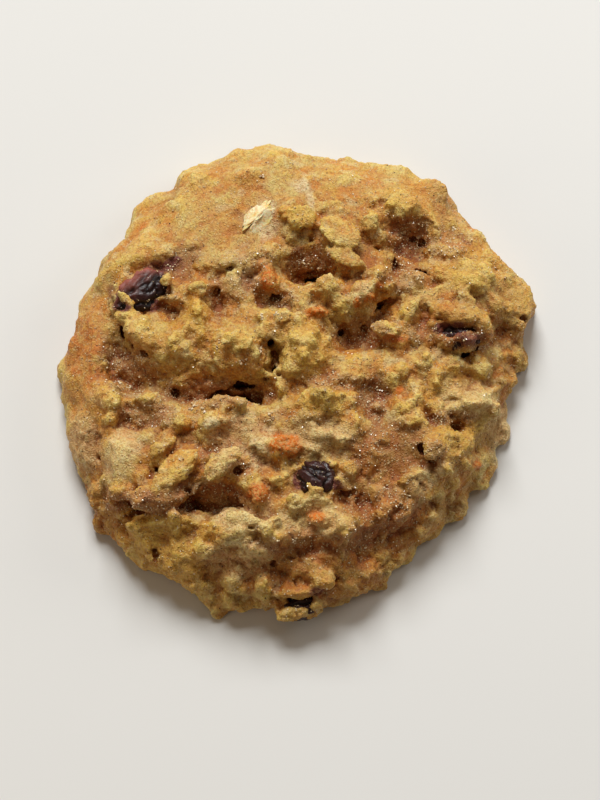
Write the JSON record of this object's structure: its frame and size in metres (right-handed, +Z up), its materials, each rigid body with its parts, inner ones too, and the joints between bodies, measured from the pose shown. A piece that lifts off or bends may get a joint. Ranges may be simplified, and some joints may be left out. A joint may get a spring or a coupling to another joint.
{
  "type": "oatmeal raisin cookie",
  "caption": "Round craggy oatmeal cookie with a flat underside, a rough crumbly wall and raisins set in its top and wall.",
  "frame": {"origin": "centre of the flat underside's box, on the surface that the cookie rests on", "axes": "+Z up out of the craggy top; -Y towards the side wall that the picture shows, +X to the right in that view"},
  "size_m": [0.0782, 0.082, 0.0175],
  "materials": {
    "crust": "baked oat dough, golden brown, rough and crumbly, moist and darker in the hollows",
    "raisin": "dried raisin, dark purple brown, wrinkled, slightly glossy"
  },
  "bodies": {
    "root": {"cookie": "crust", "raisin_left": "raisin", "raisin_centre": "raisin", "raisin_right": "raisin", "raisin_front": "raisin"}
  },
  "joints": []
}
